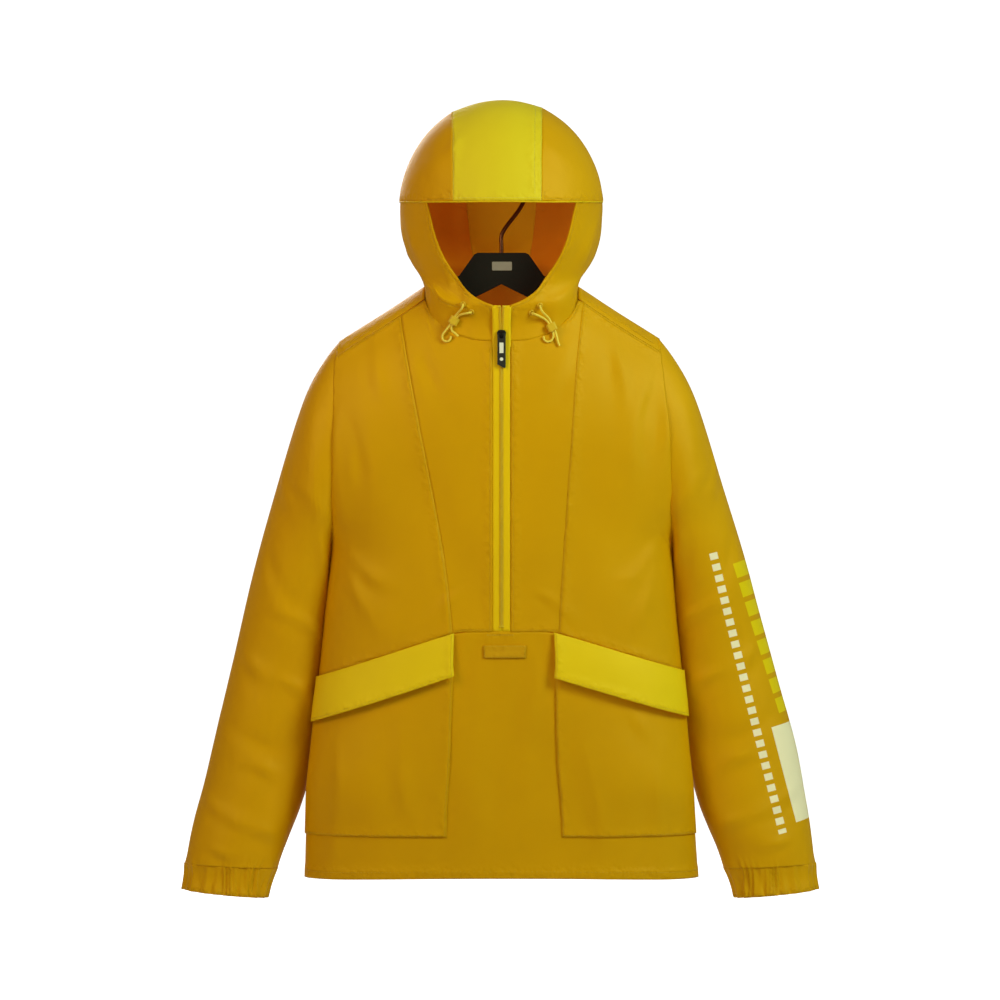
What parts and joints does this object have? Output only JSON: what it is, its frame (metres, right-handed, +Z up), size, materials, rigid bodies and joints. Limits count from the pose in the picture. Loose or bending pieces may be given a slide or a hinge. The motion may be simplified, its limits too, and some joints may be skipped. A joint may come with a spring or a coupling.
{
  "type": "hooded anorak pullover on a hanger",
  "caption": "Hooded half-zip anorak with flap pockets, gathered cuffs and drawcords, hanging open at neck, hem and cuffs on a flat hanger.",
  "frame": {"origin": "inside top of the hanger's hook, where the rod carries it", "axes": "+X to the right as seen from the front, -Y towards the viewer, +Z up"},
  "size_m": [0.7672, 0.194, 0.9571],
  "materials": {
    "shell_cloth": "soft sheen",
    "flap_cloth": "soft sheen",
    "hood_cloth": "soft sheen",
    "zip_tape": "matte",
    "patch": "matte",
    "drawcord": "matte",
    "eyelet": "satin",
    "cord_lock": "matte",
    "slider": "satin",
    "pull_tab": "matte",
    "hanger": "satin",
    "hook_wire": "polished"
  },
  "bodies": {
    "anorak": {"front_upper_left": "shell_cloth", "front_side_left": "shell_cloth", "pocket_left": "shell_cloth", "flap_left": "flap_cloth", "sleeve_left": "shell_cloth", "cuff_left": "shell_cloth", "zip_tape_left": "zip_tape", "hood_side_left": "shell_cloth", "front_upper_right": "shell_cloth", "front_side_right": "shell_cloth", "pocket_right": "shell_cloth", "flap_right": "flap_cloth", "sleeve_right": "shell_cloth", "cuff_right": "shell_cloth", "zip_tape_right": "zip_tape", "hood_side_right": "shell_cloth", "front_lower": "shell_cloth", "back": "shell_cloth", "hood_center": "hood_cloth", "front_patch": "patch", "hanger_body": "hanger", "hanger_hook": "hook_wire", "drawcord_left_a": "drawcord", "eyelet_left_a": "eyelet", "drawcord_left_b": "drawcord", "eyelet_left_b": "eyelet", "drawcord_right_a": "drawcord", "eyelet_right_a": "eyelet", "drawcord_right_b": "drawcord", "eyelet_right_b": "eyelet", "cord_lock_left": "cord_lock", "cord_lock_right": "cord_lock", "zip_slider": "slider", "zip_slider_bridge": "slider"},
    "pull_tab": {"zip_pull_tab": "pull_tab"}
  },
  "joints": [
    {"name": "pull_tab_swing", "type": "hinge", "parent": "anorak", "child": "pull_tab", "pos_m": [0, -0.0701, -0.199], "axis": [-1, 0, 0], "range_deg": [0, 120]}
  ]
}
